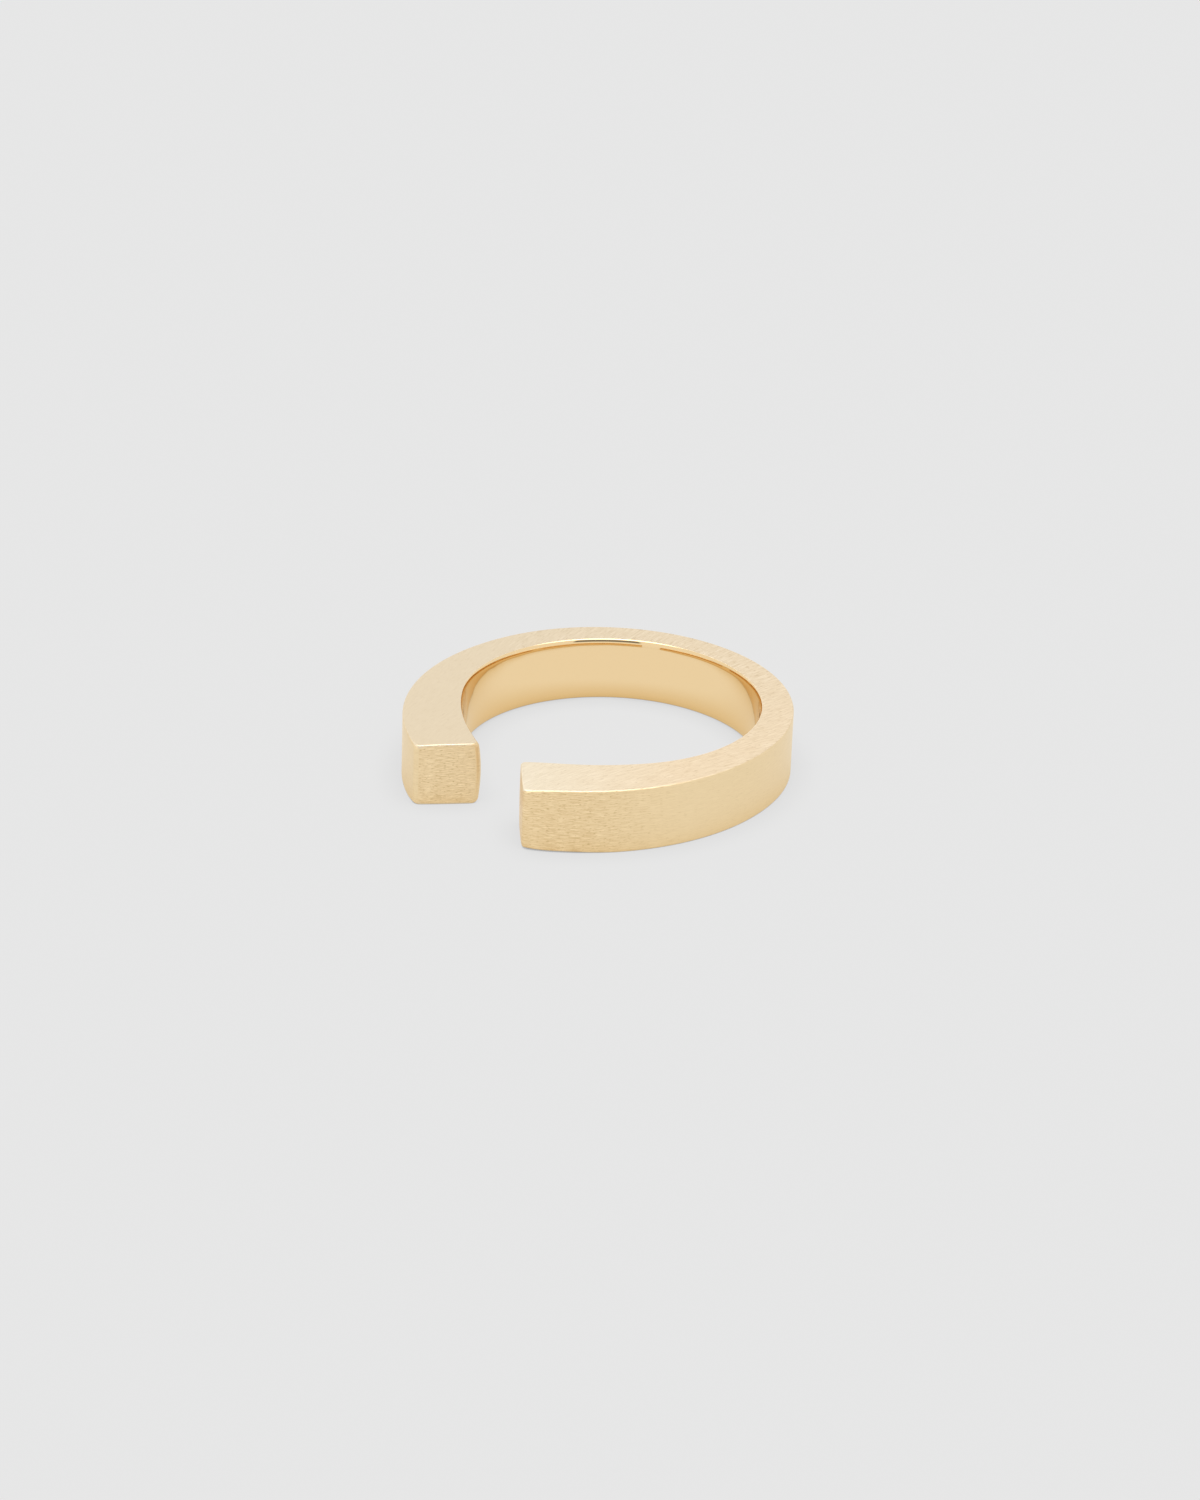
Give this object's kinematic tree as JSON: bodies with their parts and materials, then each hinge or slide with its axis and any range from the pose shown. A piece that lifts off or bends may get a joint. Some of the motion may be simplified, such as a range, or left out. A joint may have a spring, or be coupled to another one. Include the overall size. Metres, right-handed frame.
{
  "type": "split band ring",
  "caption": "Open finger ring: a square-edged metal band that thickens from the back to its blunt ends, which face each other across a small gap.",
  "frame": {"origin": "middle of the ring's footprint, on the surface it rests on", "axes": "+Z along the finger axis, +Y towards the middle of the back, opposite the gap"},
  "size_m": [0.022, 0.0232, 0.0039],
  "materials": {
    "gold": "satin brushed outside, polished inside"
  },
  "bodies": {
    "root": {"band": "gold"}
  },
  "joints": []
}
